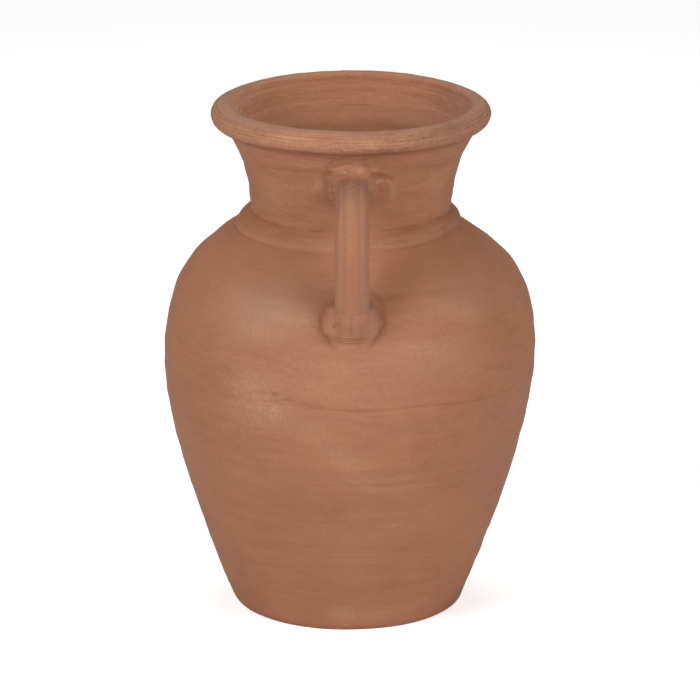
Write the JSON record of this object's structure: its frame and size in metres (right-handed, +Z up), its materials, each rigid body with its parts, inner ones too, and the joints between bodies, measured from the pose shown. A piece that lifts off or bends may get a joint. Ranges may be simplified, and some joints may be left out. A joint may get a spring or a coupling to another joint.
{
  "type": "ceramic jug",
  "caption": "Unglazed terracotta jug: swelling body on a flat foot, flared round mouth with a rolled lip, coil at the neck and a strap handle seated on clay pads.",
  "frame": {"origin": "centre of the flat foot's underside, where the jug meets the ground", "axes": "+Z up along the jug's axis of turning, -Y towards the handle, +X to the right when the handle faces the viewer"},
  "size_m": [0.2166, 0.222, 0.3],
  "materials": {
    "fired_clay_body": "matte unglazed terracotta with fine wheel streaks and a thin, patchy pale wash",
    "fired_clay_neck": "matte unglazed terracotta with level wheel streaks and darker creases",
    "fired_clay_lip": "matte unglazed terracotta, paler and finely grooved where it was thrown over",
    "fired_clay_handle": "matte unglazed terracotta with lengthwise pulling marks and greyer sides"
  },
  "bodies": {
    "root": {"lower_bowl": "fired_clay_body", "upper_shell": "fired_clay_body", "neck": "fired_clay_neck", "neck_collar": "fired_clay_neck", "rolled_lip": "fired_clay_lip", "handle": "fired_clay_handle", "handle_upper_pad": "fired_clay_handle", "handle_lower_pad": "fired_clay_handle"}
  },
  "joints": []
}
